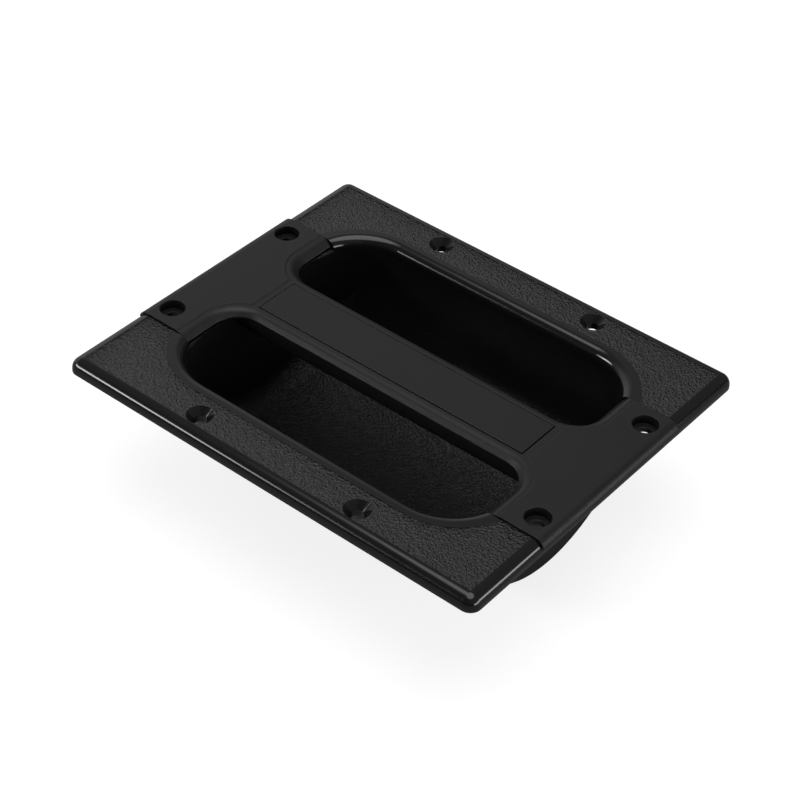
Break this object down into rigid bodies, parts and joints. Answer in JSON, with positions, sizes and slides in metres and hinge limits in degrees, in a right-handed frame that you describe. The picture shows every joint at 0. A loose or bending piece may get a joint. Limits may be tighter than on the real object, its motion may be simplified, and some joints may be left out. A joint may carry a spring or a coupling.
{
  "type": "recessed pull handle",
  "caption": "Recessed pull handle: a moulded dish let into a panel, bridged flush by a wrap-over grip bar with finger room on both sides and beneath.",
  "frame": {"origin": "on the panel face, at the common centre of both screw patterns", "axes": "+X along the grip bar, +Y across it, +Z out of the panel; the bowl reaches down to -Z"},
  "size_m": [0.2012, 0.168, 0.0629],
  "materials": {
    "dish_plastic": "fine pebble grain, smooth trim",
    "grip_plastic": "satin",
    "cap_plastic": "satin"
  },
  "bodies": {
    "root": {"dish": "dish_plastic", "grip_bridge": "grip_plastic", "grip_insert": "cap_plastic"}
  },
  "joints": []
}
